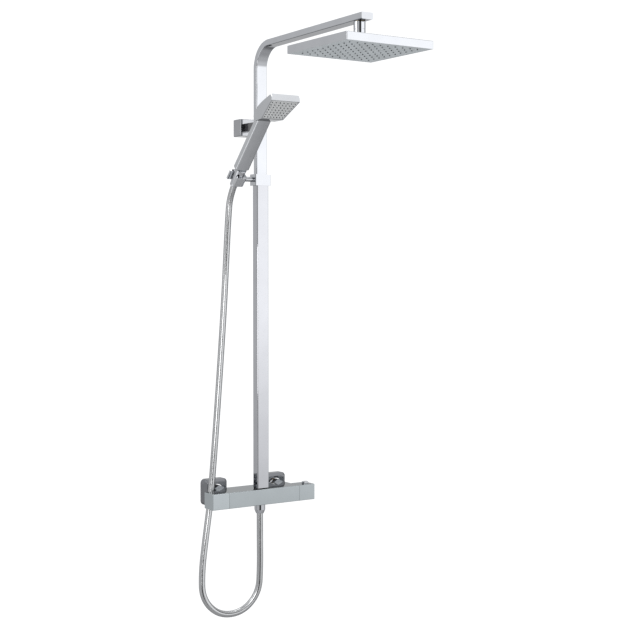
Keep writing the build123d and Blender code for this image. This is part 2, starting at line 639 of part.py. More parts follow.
def rain_head_shell():
    part = bar_z(HEAD_SIDE, HEAD_SIDE, 1.5, HEAD_BOTTOM_Z, HEAD_TOP_Z, 0, HEAD_Y)
    part = fillet(part.faces().sort_by(Axis.Z)[-1].edges(), 0.8)
    inner = HEAD_SIDE - 2 * SHEET
    part -= bar_z(inner, inner, 1.0, HEAD_BOTTOM_Z, HEAD_TOP_Z - SHEET, 0, HEAD_Y)
    part += rod_z(HEAD_BOSS_R, HEAD_BOSS_FOOT_Z, HEAD_BOSS_TOP_Z, 0, HEAD_Y)
    return part - rod_z(STUD_R + FIT, HEAD_BOSS_FOOT_Z, HEAD_BOSS_TOP_Z, 0, HEAD_Y)


def grid(count, pitch_x, pitch_y):
    first_x, first_y = -(count - 1) * pitch_x / 2, -(count - 1) * pitch_y / 2
    return [(first_x + i * pitch_x, first_y + j * pitch_y)
            for i in range(count) for j in range(count)]


head_grid = grid(HEAD_NOZZLES, HEAD_PITCH, HEAD_PITCH)
FACE_T = 1.4
FACE_Z = HEAD_BOTTOM_Z + 0.2
MAT_T = 1.2


def rain_head_plate():
    side = HEAD_SIDE - 2 * SHEET - 0.2
    spots = [Pos(x, y) * Circle(NOZZLE_R + 0.1) for x, y in head_grid]
    sheet = RectangleRounded(side, side, 0.9) - Sketch() - spots
    return extrude(Pos(0, HEAD_Y, FACE_Z) * sheet, amount=FACE_T)


def rain_head_nozzles():
    """Silicone mat behind the face plate, with one soft nozzle through each hole."""
    mat_z = FACE_Z + FACE_T
    part = bar_z(178, 178, 4, mat_z, mat_z + MAT_T, 0, HEAD_Y)
    nozzles = [cone_z(NOZZLE_R - 0.5, NOZZLE_R, HEAD_BOTTOM_Z - 0.8, mat_z + 0.1, x, HEAD_Y + y)
               for x, y in head_grid]
    jets = [rod_z(0.5, HEAD_BOTTOM_Z - 1, mat_z + 2, x, HEAD_Y + y) for x, y in head_grid]
    return part + nozzles - jets


def rain_head_frame():
    """Perimeter gasket that clamps the mat against the face plate."""
    mat_z = FACE_Z + FACE_T
    part = bar_z(192, 192, 3, mat_z, mat_z + 2.4, 0, HEAD_Y)
    return part - bar_z(178.6, 178.6, 4, mat_z, mat_z + 2.4, 0, HEAD_Y)


save("arm_nipple", arm_nipple())
save("swivel_nut", swivel_nut())
save("ball_liner", ball_liner())
save("ball_stud", ball_stud())
save("rain_head_shell", rain_head_shell())
save("rain_head_plate", rain_head_plate())
save("rain_head_nozzles", rain_head_nozzles())
save("rain_head_gasket", rain_head_frame())

# ---------------------------------------------------------------- holder and pivot
# The holder and the hand shower are drawn upright about the pivot and tilted into place:
# local +Z runs up the handle and local -Y is the side the water leaves.
tilted = Pos(HOLDER_X, RISER_Y, HOLDER_Z) * Rot(HAND_TILT, 0, 0)
CUP_LEFT = -16.5
CUP_RIGHT = 15.0
CUP_ARM_LEFT = -11.0         # the front arm is shorter than the back one
CUP_FRONT_Y = -13.0
CUP_BACK_Y = 18.0
CUP_HALF_Z = 11.0
CUP_SLOT = 15.6
PIN_SEAT_X = 12.8            # floor of the blind hole for the pin, local X
NUT_TOP_LOCAL = 24.2
NUT_STEP_LOCAL = 11.4
NUT_FOOT_LOCAL = -20.0
NIPPLE_LOCAL = 12.9          # end of the hand shower's threaded nipple
NUT_MID_R = 11.2
NUT_END_R = 8.9
NUT_HEAD_R = 12.5
HOSE_BORE_R = HOSE_D / 2 + 0.4


def nut_cone_r(z):
    """Radius of the cone nut's taper at a height along the handle."""
    share = (z - NUT_FOOT_LOCAL) / (NUT_STEP_LOCAL - NUT_FOOT_LOCAL)
    return NUT_END_R + share * (NUT_MID_R - NUT_END_R)


def pivot_pin():
    tip_x = HOLDER_X + PIN_SEAT_X + 0.2
    part = rod_x(PIN_R, tip_x, PIN_HOLE_X - 0.1, RISER_Y, HOLDER_Z)
    groove = (tip_x + 0.4, tip_x + 1.7, RISER_Y, HOLDER_Z)
    part -= rod_x(PIN_R, *groove) - rod_x(PIN_R - 0.9, *groove)
    return part - rod_x(1.55, tip_x, tip_x + 9, RISER_Y, HOLDER_Z)


def pivot_ring():
    start_x = HOLDER_X + PIN_SEAT_X + 0.7
    part = rod_x(PIN_R, start_x, start_x + 1.1, RISER_Y, HOLDER_Z)
    return part - rod_x(PIN_R - 0.85, start_x, start_x + 1.1, RISER_Y, HOLDER_Z)


def holder_cup():
    """C-shaped conical cup. Its slot faces away from the riser."""
    middle = Pos((CUP_LEFT + CUP_RIGHT) / 2, (CUP_FRONT_Y + CUP_BACK_Y) / 2)
    outline = middle * Rectangle(CUP_RIGHT - CUP_LEFT, CUP_BACK_Y - CUP_FRONT_Y)
    outline = fillet(outline.vertices().sort_by(Axis.X)[2:], 8.0)
    outline = fillet(outline.vertices().sort_by(Axis.X)[:2], 3.0)
    part = extrude(Pos(0, 0, -CUP_HALF_Z) * outline, amount=2 * CUP_HALF_Z)
    part = fillet(part.faces().sort_by(Axis.Z)[-1].edges(), 0.8)
    low, high = -CUP_HALF_Z - 1, CUP_HALF_Z + 1
    slot = (HAND_Y0 - CUP_SLOT / 2, HAND_Y0 + CUP_SLOT / 2)
    part -= cone_z(nut_cone_r(low) + 0.3, nut_cone_r(high) + 0.3, low, high, 0, HAND_Y0)
    part -= block(CUP_LEFT - 1, 0, *slot, low, high)
    part -= block(CUP_LEFT - 1, CUP_ARM_LEFT, CUP_FRONT_Y - 1, HAND_Y0, low, high)
    part -= rod_x(PIN_R + FIT, PIN_SEAT_X, CUP_RIGHT + 1, 0, 0)
    part -= rod_x(1.6, 8, PIN_SEAT_X + 1, 0, 0)
    part -= rod_x(3.3, 8, PIN_SEAT_X - 0.8, 0, 0)
    return tilted * part


def holder_screw():
    part = rod_x(1.5, PIN_SEAT_X - 0.8, PIN_SEAT_X + 8, 0, 0)
    head = rod_x(3.0, PIN_SEAT_X - 1.8, PIN_SEAT_X - 0.8, 0, 0)
    return tilted * (part + head)


save("holder_pivot_pin", pivot_pin())
save("holder_friction_ring", pivot_ring())
save("holder_cup", holder_cup())
save("holder_screw", holder_screw())

# ---------------------------------------------------------------- hand shower
HANDLE_W = 33.0
HANDLE_FRONT_Y = -4.0
HANDLE_BACK_Y = 11.0
HANDLE_CROWN = 1.5           # how far the front bulges between its edges
HANDLE_FOOT_Z = 24.5
HANDLE_TOP_Z = 168.0
FACE_TILT = 15.1             # spray face leans further forward than the handle
FACE_FOOT = (-22.4, 176.2)   # Y, Z of the spray face's lower edge
FACE_LEN = 61.1
FACE_LOW_HALF = 26.2         # half widths at the face's lower and upper edge
FACE_HIGH_HALF = 33.7
HAND_NOZZLES = 7
HAND_MARGIN_X = 5.6          # outer columns to the side edges
HAND_PITCH_Z = 7.7
HAND_MID_Z = 30.2
PLATE_INSET = 2.2

# Head of the hand shower in its own frame: local Z up the spray face from its lower
# edge, local Y into the head.
face = Pos(0, *FACE_FOOT) * Rot(FACE_TILT, 0, 0)


def head_half(z):
    return FACE_LOW_HALF + (FACE_HIGH_HALF - FACE_LOW_HALF) * z / FACE_LEN


def plan_solid(inset, low_z, high_z, y0, y1, corner, high_corner=None):
    """Tapered outline of the head, extruded through its thickness."""
    low, high = head_half(low_z) - inset, head_half(high_z) - inset
    outline = Plane.XZ * Polygon((-low, low_z), (low, low_z), (high, high_z), (-high, high_z),
                                 align=None)
    solid = Pos(0, y1, 0) * extrude(outline, amount=y1 - y0)
    corners = solid.edges().filter_by(Axis.Y).sort_by(Axis.Z)
    solid = fillet(corners[2:], high_corner or corner)
    return fillet(solid.edges().filter_by(Axis.Y).sort_by(Axis.Z)[:2], corner)


def profile_solid(inset):
    """Wedge-shaped side profile of the head, extruded across its width."""
    with BuildLine(Plane.YZ) as edge:
        Polyline((inset, 0), (inset, FACE_LEN - inset / 2), (10.9 - inset, 67.6 - inset))
        Spline((10.9 - inset, 67.6 - inset), (21.8 - inset, 32.3), (28.4 - inset, 2.6),
               (28.6 - inset, -20.0 + inset))
        Polyline((28.6 - inset, -20.0 + inset), (23.5 - inset, -27.0 + inset),
                 (13.5 + inset, -24.0 + inset), (inset, 0))
    return extrude(make_face(edge.line), amount=50, both=True)


def handle_solid():
    """Handle with a gently crowned front between two rounded edges."""
    half = HANDLE_W / 2
    edge_y = HANDLE_FRONT_Y + HANDLE_CROWN
    with BuildLine() as edge:
        ThreePointArc((-half, edge_y), (0, HANDLE_FRONT_Y), (half, edge_y))
        Polyline((half, edge_y), (half, HANDLE_BACK_Y), (-half, HANDLE_BACK_Y), (-half, edge_y))
    outline = make_face(edge.line)
    outline = fillet(outline.vertices().sort_by(Axis.Y)[:2], 4.5)
    outline = fillet(outline.vertices().sort_by(Axis.Y)[-2:], 3.0)
    return extrude(Pos(0, 0, HANDLE_FOOT_Z) * outline, amount=HANDLE_TOP_Z - HANDLE_FOOT_Z)


def handset_body():
    head = profile_solid(0) & plan_solid(0, -28, 68.4, -5, 40, 4.0, 7.0)
    cavity = profile_solid(2.2) & plan_solid(2.4, -22, 63, 2.6, 40, 3.0)
    depth = HANDLE_BACK_Y - HANDLE_FRONT_Y
    mid_y = (HANDLE_BACK_Y + HANDLE_FRONT_Y) / 2
    handle = handle_solid()
    handle = chamfer(handle.faces().sort_by(Axis.Z)[0].edges(), 1.8)
    part = handle + face * head
    part -= bar_z(HANDLE_W - 5, depth - 5, 1.6, HANDLE_FOOT_Z + 4, HANDLE_TOP_Z, 0, mid_y)
    part -= face * cavity
    part -= face * plan_solid(PLATE_INSET - 0.1, 2.2, 59.6, -1, 2.9, 4.0)
    part += rod_z(THREAD_R, NIPPLE_LOCAL, HANDLE_FOOT_Z, 0, HAND_Y0)
    part -= rod_z(4.5, NIPPLE_LOCAL, HANDLE_FOOT_Z + 5, 0, HAND_Y0)
    return part


def hand_grid():
    """Nozzle centres. The columns fan out with the width of the head."""
    middle = (HAND_NOZZLES - 1) / 2
    spots = []
    for row in range(HAND_NOZZLES):
        z = HAND_MID_Z + (row - middle) * HAND_PITCH_Z
        reach = head_half(z) - HAND_MARGIN_X
        spots += [((column - middle) / middle * reach, z) for column in range(HAND_NOZZLES)]
    return spots


def handset_plate():
    part = plan_solid(PLATE_INSET, 2.4, 59.4, 0.1, 1.5, 3.9)
    holes = [Pos(x, 0.8, z) * Rot(90, 0, 0) * Cylinder(1.35, 2) for x, z in hand_grid()]
    return part - holes


def handset_nozzles():
    part = plan_solid(PLATE_INSET + 1, 3.4, 58.4, 1.6, 2.6, 3.0)
    nozzles = [Pos(x, 0.45, z) * Rot(90, 0, 0) * Cone(1.25, 0.9, 2.5) for x, z in hand_grid()]
    jets = [Pos(x, 0.5, z) * Rot(90, 0, 0) * Cylinder(0.4, 6) for x, z in hand_grid()]
    return part + nozzles - jets


def handset_cone_nut():
    part = cone_z(NUT_MID_R + 0.3, NUT_HEAD_R, NUT_STEP_LOCAL, NUT_TOP_LOCAL, 0, HAND_Y0)
    part = chamfer(part.edges().filter_by(GeomType.CIRCLE), 0.4)
    part += cone_z(NUT_END_R, NUT_MID_R, NUT_FOOT_LOCAL, NUT_STEP_LOCAL, 0, HAND_Y0)
    part -= rod_z(THREAD_R + FIT, NUT_STEP_LOCAL, NUT_TOP_LOCAL, 0, HAND_Y0)
    return part - rod_z(HOSE_BORE_R, NUT_FOOT_LOCAL, NUT_STEP_LOCAL, 0, HAND_Y0)


def washer(z0, z1):
    return rod_z(THREAD_R - 0.1, z0, z1) - rod_z(5.0, z0, z1)


save("handset_body", tilted * handset_body())
save("handset_face_plate", tilted * (face * handset_plate()))
save("handset_nozzles", tilted * (face * handset_nozzles()))
save("handset_cone_nut", tilted * handset_cone_nut())
save("handset_washer", tilted * (Pos(0, HAND_Y0, 0) * washer(NUT_STEP_LOCAL, NIPPLE_LOCAL)))

# ---------------------------------------------------------------- lower hose nut
HOSE_NUT_TOP_Z = BAR_BOTTOM_Z - 0.4
HOSE_NUT_STEP_Z = -36.5
HOSE_NUT_FOOT_Z = -44.0
HOSE_NUT_R = 11.8


def lower_cone_nut():
    part = rod_z(HOSE_NUT_R, HOSE_NUT_STEP_Z, HOSE_NUT_TOP_Z, 0, OUTLET_Y)
    part += cone_z(8.6, HOSE_NUT_R, HOSE_NUT_FOOT_Z, HOSE_NUT_STEP_Z, 0, OUTLET_Y)
    part -= rod_z(THREAD_R + FIT, HOSE_NUT_STEP_Z, HOSE_NUT_TOP_Z, 0, OUTLET_Y)
    return part - rod_z(HOSE_BORE_R, HOSE_NUT_FOOT_Z, HOSE_NUT_STEP_Z, 0, OUTLET_Y)


save("hose_cone_nut", lower_cone_nut())
save("hose_washer", Pos(0, OUTLET_Y, 0) * washer(HOSE_NUT_STEP_Z, -35))

# ---------------------------------------------------------------- hose
# Free-hanging metal hose: out of the hand shower's cone nut, down behind the diverter
# knob, round a loop below the bar and up into the outlet nut.


def along_handle(z):
    """Point on the hand shower's axis, at a height along the handle."""
    lean = radians(HAND_TILT)
    return (HOLDER_X,
            RISER_Y + HAND_Y0 * cos(lean) - z * sin(lean),
            HOLDER_Z + HAND_Y0 * sin(lean) + z * cos(lean))


hose_points = [
    along_handle(NUT_STEP_LOCAL - 0.2),
    along_handle(-43.0),
    (-58.2, -43.6, 587.0),
    (-62.4, -42.8, 505.0),
    (-68.5, -43.8, 410.0),
    (-76.5, -43.6, 300.0),
    (-86.5, -44.4, 180.0),
    (-96.0, -44.6, 70.0),
    (-106.0, -46.6, -20.0),
    (-119.5, -50.6, -92.0),
    (-131.0, -54.6, -160.0),
    (-132.0, -58.6, -218.3),
    (-93.6, -63.0, -257.6),
    (-38.9, -68.8, -257.0),
    (-0.6, -73.6, -218.0),
    (0.8, -76.4, -160.0),
    (0.0, -77.0, -98.0),
    (0.0, OUTLET_Y, HOSE_NUT_STEP_Z - 0.1),
]


def corner_radii(points):
    """Each arc is as large as its two runs allow."""
    radii = []
    for before, here, after in zip(points, points[1:], points[2:]):
        run_in = Vector(*here) - Vector(*before)
        run_out = Vector(*after) - Vector(*here)
        half_turn = radians(run_in.get_angle(run_out) / 2)
        radii.append(0.45 * min(run_in.length, run_out.length) / tan(half_turn))
    return radii


hose_radii = corner_radii(hose_points)
hose_path = FilletPolyline(*hose_points, radius=hose_radii)
hose = sweep(Plane(origin=hose_path @ 0, z_dir=hose_path % 0) * Circle(HOSE_D / 2),
             path=hose_path)
save("shower_hose", hose)
print("hose radii", [round(r, 1) for r in hose_radii])
print("hose length", round(hose_path.length, 1), "volume ratio",
      round(hose.volume / (3.14159 * (HOSE_D / 2) ** 2 * hose_path.length), 4))
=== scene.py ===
import json
import math

import bpy
import numpy as np
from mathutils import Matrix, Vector


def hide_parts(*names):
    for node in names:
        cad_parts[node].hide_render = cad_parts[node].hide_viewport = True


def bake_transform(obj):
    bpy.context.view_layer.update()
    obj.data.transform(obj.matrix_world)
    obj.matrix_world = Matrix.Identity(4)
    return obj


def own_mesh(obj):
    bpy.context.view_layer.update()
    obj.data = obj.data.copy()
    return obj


# Looks for a wall-mounted rain shower column. Metres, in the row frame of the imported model:
# x runs along the bar, -y points out of the wall and z points up.
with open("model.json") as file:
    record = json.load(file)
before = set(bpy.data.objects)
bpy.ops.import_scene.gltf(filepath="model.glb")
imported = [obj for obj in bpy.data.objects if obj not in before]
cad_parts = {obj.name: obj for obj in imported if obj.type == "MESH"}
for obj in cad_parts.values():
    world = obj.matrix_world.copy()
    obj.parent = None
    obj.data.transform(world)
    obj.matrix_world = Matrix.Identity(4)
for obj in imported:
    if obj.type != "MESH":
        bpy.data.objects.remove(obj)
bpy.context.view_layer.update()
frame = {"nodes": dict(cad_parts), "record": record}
nodes = frame["nodes"]
scene = bpy.context.scene

# ------------------------------------------------------------------ camera
CAMERA_PLACE = (-1.4846, -2.5142, 0.4900)
CAMERA_DIP = 0.0372          # radians below the horizon
CAMERA_TURN = -0.5889        # radians round the upright axis, from looking along +y
LENS = 75.83                 # millimetres, on a sensor this wide
SENSOR_WIDTH = 36.0

camera_data = bpy.data.cameras.new("camera")
camera_data.lens = LENS
camera_data.sensor_width = SENSOR_WIDTH
camera_data.clip_start, camera_data.clip_end = 0.05, 60.0
camera = bpy.data.objects.new("camera", camera_data)
scene.collection.objects.link(camera)
camera.location = CAMERA_PLACE
camera.rotation_euler = (math.pi / 2 - CAMERA_DIP, 0.0, CAMERA_TURN)
scene.camera = camera
scene.view_settings.view_transform = "Standard"


# ------------------------------------------------------------------ node helpers
class Tree:
    """A short way to write shader nodes, in a tree that it empties first."""

    def __init__(self, tree):
        self.tree = tree
        self.tree.nodes.clear()

    def add(self, kind, **props):
        node = self.tree.nodes.new(kind)
        for key, value in props.items():
            setattr(node, key, value)
        return node

    def put(self, socket, value):
        """Links a socket to another one, or sets its value. None leaves it alone."""
        if isinstance(value, bpy.types.NodeSocket):
            self.tree.links.new(value, socket)
        elif value is not None:
            socket.default_value = value

    def math(self, operation, a, b=None):
        node = self.add("ShaderNodeMath", operation=operation)
        self.put(node.inputs[0], a)
        self.put(node.inputs[1], b)
        return node.outputs[0]

    def vector(self, operation, a, b=None):
        node = self.add("ShaderNodeVectorMath", operation=operation)
        self.put(node.inputs[0], a)
        self.put(node.inputs[1], b)
        return node.outputs["Value" if operation in ("DOT_PRODUCT", "LENGTH") else "Vector"]

    def remap(self, value, low, high, to_low, to_high, smooth=False):
        node = self.add("ShaderNodeMapRange")
        node.interpolation_type = "SMOOTHSTEP" if smooth else "LINEAR"
        for socket, v in zip(node.inputs, (value, low, high, to_low, to_high)):
            self.put(socket, v)
        return node.outputs[0]

    def fade(self, value, start, end):
        """0 at the start value, 1 at the end value, and a smooth step between."""
        return self.remap(value, start, end, 0.0, 1.0, smooth=True)

    def mix(self, factor, a, b):
        node = self.add("ShaderNodeMix", data_type="FLOAT")
        self.put(node.inputs[0], factor)
        self.put(node.inputs[2], a)
        self.put(node.inputs[3], b)
        return node.outputs[0]

    def mix_color(self, factor, a, b):
        node = self.add("ShaderNodeMix", data_type="RGBA")
        self.put(node.inputs[0], factor)
        self.put(node.inputs[6], a)
        self.put(node.inputs[7], b)
        return node.outputs[2]

    def scaled(self, coords, scale):
        node = self.add("ShaderNodeMapping")
        self.put(node.inputs["Vector"], coords)
        node.inputs["Scale"].default_value = scale
        return node.outputs[0]

    def noise(self, coords, scale, detail=3.0, rough=0.55):
        node = self.add("ShaderNodeTexNoise")
        self.put(node.inputs["Vector"], coords)
        node.inputs["Scale"].default_value = scale
        node.inputs["Detail"].default_value = detail
        node.inputs["Roughness"].default_value = rough
        return node.outputs["Fac"]

    def ramp(self, factor, *stops):
        node = self.add("ShaderNodeValToRGB")
        self.put(node.inputs[0], factor)
        marks = node.color_ramp.elements
        while len(marks) < len(stops):
            marks.new(0.5)
        for mark, (place, color) in zip(marks, stops):
            mark.position = place
            mark.color = (*color, 1.0)
        return node.outputs[0]

    def bump(self, height, distance, normal=None):
        node = self.add("ShaderNodeBump")
        node.inputs["Strength"].default_value = 1.0
        node.inputs["Distance"].default_value = distance
        self.put(node.inputs["Height"], height)
        self.put(node.inputs["Normal"], normal)
        return node.outputs[0]


# ------------------------------------------------------------------ finishes
SKIN_IOR = 1.5
NOISE_LOW, NOISE_HIGH = 0.3, 0.7          # most of a noise's values lie between these
SPOT_SCALE = 160.0           # dried water spots per metre
SPOT_EDGE = (0.10, 0.22)     # where a spot starts and stops fading, in cell widths
OUT_OF_WALL = (0.0, -1.0, 0.0)
# The hand shower's end band gets a painted dark reflection: faces that point out of the wall are
# darkened.
BAND_FACING = (0.93, 0.99)   # how squarely a face points out of the wall to count as the end band
PAINTED_REFLECTION_SHARE = 0.28            # how much of the band's tone is the painted dark reflection
PAINTED_REFLECTION_TONE = (0.02, 0.02, 0.022, 1.0)


def shade(color, amount):
    return tuple(max(0.0, min(1.0, c * (1 + amount))) for c in color)


def spotted(t, coords, gloss, amount):
    """Adds dried water spots, soft rings that are a little duller than the plate."""
    cells = t.add("ShaderNodeTexVoronoi", feature="F1")
    t.put(cells.inputs["Vector"], coords)
    cells.inputs["Scale"].default_value = SPOT_SCALE
    ring = t.remap(cells.outputs["Distance"], *SPOT_EDGE, amount, 0.0, smooth=True)
    return t.math("ADD", gloss, ring)


def paint_dark_reflection(t, tone):
    """Darkens the faces that point out of the wall. Stands in for a dark reflection there."""
    normal = t.add("ShaderNodeTexCoord").outputs["Normal"]
    facing = t.vector("DOT_PRODUCT", normal, OUT_OF_WALL)
    share = t.remap(facing, *BAND_FACING, 0.0, PAINTED_REFLECTION_SHARE, smooth=True)
    return t.mix_color(share, tone, PAINTED_REFLECTION_TONE)


def material(name, color, metallic, rough, spread=0.06, grain=900.0, grain_height=1.5e-6, wave=35.0,
             wave_height=0.0, stretch=(1, 1, 1), coat=0.0, spots=0.0, edge=1.0, painted_band_reflection=False):
    """A finish whose colour, roughness and bump all come from procedural nodes."""
    made = bpy.data.materials.new(name)
    made.use_nodes = True
    t = Tree(made.node_tree)
    out = t.add("ShaderNodeOutputMaterial")
    skin = t.add("ShaderNodeBsdfPrincipled")
    t.put(out.inputs["Surface"], skin.outputs[0])
    coords = t.add("ShaderNodeTexCoord").outputs["Object"]
    cloud = t.noise(coords, wave, 3.0)
    fine = t.noise(t.scaled(coords, stretch), grain, 4.0, 0.6)
    tone = t.ramp(cloud, (NOISE_LOW, shade(color, -spread)), (NOISE_HIGH, shade(color, spread)))
    # Painted dark reflection on the faces that point out of the wall.
    if painted_band_reflection:
        tone = paint_dark_reflection(t, tone)
    gloss = t.remap(fine, NOISE_LOW, NOISE_HIGH, *rough)
    if spots:
        gloss = spotted(t, coords, gloss, spots)
    normal = t.bump(fine, grain_height)
    if wave_height:
        normal = t.bump(cloud, wave_height, normal)
    t.put(skin.inputs["Base Color"], tone)
    t.put(skin.inputs["Roughness"], gloss)
    t.put(skin.inputs["Normal"], normal)
    skin.inputs["Metallic"].default_value = metallic
    skin.inputs["IOR"].default_value = SKIN_IOR
    skin.inputs["Specular Tint"].default_value = (edge, edge, edge, 1.0)
    skin.inputs["Coat Weight"].default_value = coat
    return made


# The edge value lowers what a metal mirrors at grazing angles. It was fitted to the photo, as were
# the greys of the parts that have their own look below. The chrome parts there are one chrome set
# darker part by part: painted shade.
POLISHED = dict(metallic=1.0, rough=(0.03, 0.07), spread=0.03, wave=18.0, wave_height=4e-5, spots=0.02)
PLATED = dict(metallic=1.0, rough=(0.05, 0.10), spread=0.04, wave=26.0, wave_height=6e-5, spots=0.02,
              edge=0.6)

FINISH = {                   # by the material slot that the record gives
    "chrome": material("polished_chrome", (0.455, 0.465, 0.485), **POLISHED, edge=0.52),
    "plated_plastic": material("plated_plastic", (0.465, 0.475, 0.49), **PLATED),
    "steel": material("brushed_steel", (0.50, 0.505, 0.52), 1.0, (0.22, 0.36),
                      spread=0.08, grain=500.0, grain_height=6e-6, stretch=(1, 14, 1)),
    "brass": material("machined_brass", (0.64, 0.47, 0.20), 1.0, (0.18, 0.34),
                      spread=0.10, grain=700.0, grain_height=6e-6, stretch=(12, 1, 1)),
    "plastic": material("pale_plastic", (0.72, 0.72, 0.69), 0.0, (0.35, 0.50),
                        spread=0.05, grain=1200.0, grain_height=8e-6),
    "dark_plastic": material("dark_plastic", (0.045, 0.045, 0.05), 0.0, (0.35, 0.5),
                             spread=0.15, grain=1200.0, grain_height=8e-6),
    "rubber": material("soft_rubber", (0.022, 0.022, 0.024), 0.0, (0.55, 0.75),
                       spread=0.2, grain=1500.0, grain_height=1.2e-5),
    "silicone": material("soft_silicone", (0.055, 0.065, 0.07), 0.0, (0.40, 0.60),
                         spread=0.2, grain=1500.0, grain_height=1.0e-5),
    "ceramic": material("lapped_ceramic", (0.78, 0.76, 0.70), 0.0, (0.12, 0.22),
                        spread=0.03, grain=1800.0, grain_height=2e-6, coat=0.3),
    "hose": material("hose_sheath", (0.40, 0.405, 0.41), 1.0, (0.03, 0.07),
                     spread=0.06, grain=1500.0, grain_height=2e-6, edge=0.5),
}
# A darker, bluer copy of the polished chrome for the bar: painted shade.
BAR_CHROME_PAINTED_SHADE = material("bar_chrome_painted_shade", (0.365, 0.395, 0.408), **POLISHED, edge=0.52)

OWN_LOOK = {                 # by the node
    "rain_head_plate": material("satin_plate", (0.54, 0.585, 0.61), 1.0, (0.26, 0.40), spread=0.08,
                                grain=420.0, grain_height=8e-6, stretch=(1, 10, 1), edge=0.62),
    "handset_face_plate": material("satin_face", (0.60, 0.61, 0.61), 0.30, (0.30, 0.42),
                                   spread=0.05, grain=900.0, grain_height=8e-6),
    # The hand shower's end band carries a painted dark reflection.
    "handset_body": material("hand_shower_plating_and_painted_reflection", (0.465, 0.475, 0.49), **PLATED, painted_band_reflection=True),
    # The flange, bracket, knob and riser chromes are darker copies of one chrome: painted shade.
    "wall_flanges": material("flange_chrome_painted_shade", (0.20, 0.205, 0.217), 1.0, (0.04, 0.09), spread=0.05,
                             wave=30.0, wave_height=6e-5, spots=0.02, edge=0.6),
    "bracket_stem": material("stem_black", (0.035, 0.035, 0.04), 0.0, (0.12, 0.25),
                             spread=0.2, grain=1200.0, grain_height=4e-6, coat=0.4),
    "bracket_cover": material("bracket_chrome_painted_shade", (0.34, 0.345, 0.36), 1.0, (0.04, 0.08), spread=0.04,
                              wave=30.0, wave_height=4e-5, spots=0.02, edge=0.6),
    "valve_body": BAR_CHROME_PAINTED_SHADE,
    "temperature_knob": BAR_CHROME_PAINTED_SHADE,
    "flow_knob": material("knob_chrome_painted_shade", (0.42, 0.455, 0.47), **POLISHED, edge=0.52),
    "riser_lower_tube": material("riser_chrome_painted_shade", (0.415, 0.42, 0.44), **POLISHED, edge=0.55),
}


def dress(obj, made):
    obj.data.materials.clear()
    obj.data.materials.append(made)


for part in frame["record"]["subparts"]:
    if part["node"] in nodes:
        dress(nodes[part["node"]], OWN_LOOK.get(part["node"], FINISH[part["material_slot"]]))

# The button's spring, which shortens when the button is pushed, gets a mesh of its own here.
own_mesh(nodes["button_spring"])

# ------------------------------------------------------------------ shower hose
# The route runs from the cone nut under the hand shower down to the loop and up to the outlet.
HOSE_DIAMETER = 0.014
ROUTE = [
    (-0.0565, -0.08717, 0.68403), (-0.0565, -0.04986, 0.64472), (-0.0582, -0.0436, 0.587),
    (-0.0624, -0.0428, 0.505), (-0.0685, -0.0438, 0.410), (-0.0765, -0.0436, 0.300),
    (-0.0865, -0.0444, 0.180), (-0.096, -0.0446, 0.070), (-0.106, -0.0466, -0.020),
    (-0.1195, -0.0506, -0.092), (-0.131, -0.0546, -0.160), (-0.132, -0.0586, -0.2183),
    (-0.0936, -0.063, -0.2576), (-0.0389, -0.0688, -0.257), (-0.0006, -0.0736, -0.218),
    (0.0008, -0.0764, -0.160), (0.0, -0.077, -0.098), (0.0, -0.077, -0.0366),
]
SHEATH_PITCH = 0.0026        # one turn of the interlocked strip
SHEATH_DEPTH = 0.00017       # how deep the groove between two turns is
GROOVE_RISE = 0.35           # the groove ends where sin(pi * phase) passes this
RINGS_PER_TURN = 8           # rings of vertices along one turn of the strip
AROUND = 24                  # vertices in a ring


def spline_points(route):
    """The points of a smooth NURBS curve whose control points are the route."""
    curve = bpy.data.curves.new("hose_route", "CURVE")
    curve.dimensions = "3D"
    curve.resolution_u = 32
    spline = curve.splines.new("NURBS")
    spline.points.add(len(route) - 1)
    for point, place in zip(spline.points, route):
        point.co = (*place, 1.0)
    spline.order_u = 3
    spline.use_endpoint_u = True
    holder = bpy.data.objects.new("hose_route", curve)
    scene.collection.objects.link(holder)
    bpy.context.view_layer.update()
    line = bpy.data.meshes.new_from_object(holder)
    points = np.array([v.co[:] for v in line.vertices])
    bpy.data.objects.remove(holder)
    bpy.data.curves.remove(curve)
    bpy.data.meshes.remove(line)
    return points


def walk(points, step):
    """Distances and points evenly along a line, and the two sideways axes that turn least along it."""
    legs = np.linalg.norm(np.diff(points, axis=0), axis=1)
    keep = np.concatenate([[True], legs > 1e-9])
    points = points[keep]
    legs = np.linalg.norm(np.diff(points, axis=0), axis=1)
    along = np.concatenate([[0.0], np.cumsum(legs)])
    places = np.linspace(0.0, along[-1], int(round(along[-1] / step)) + 1)
    centre = np.stack([np.interp(places, along, points[:, k]) for k in range(3)], axis=1)
    tangents = np.gradient(centre, axis=0)
    tangents /= np.linalg.norm(tangents, axis=1)[:, None]
    side = np.cross(tangents[0], (0.0, 1.0, 0.0))
    sides = []
    for tangent in tangents:
        side = side - tangent * (side @ tangent)
        side /= np.linalg.norm(side)
        sides.append(side)
    sides = np.array(sides)
    return places, centre, sides, np.cross(tangents, sides)


def mesh_object(name, vertices, faces):
    data = bpy.data.meshes.new(name)
    data.from_pydata([tuple(v) for v in vertices], [], faces)
    data.update()
    data.polygons.foreach_set("use_smooth", [True] * len(data.polygons))
    obj = bpy.data.objects.new(name, data)
    scene.collection.objects.link(obj)
    return obj


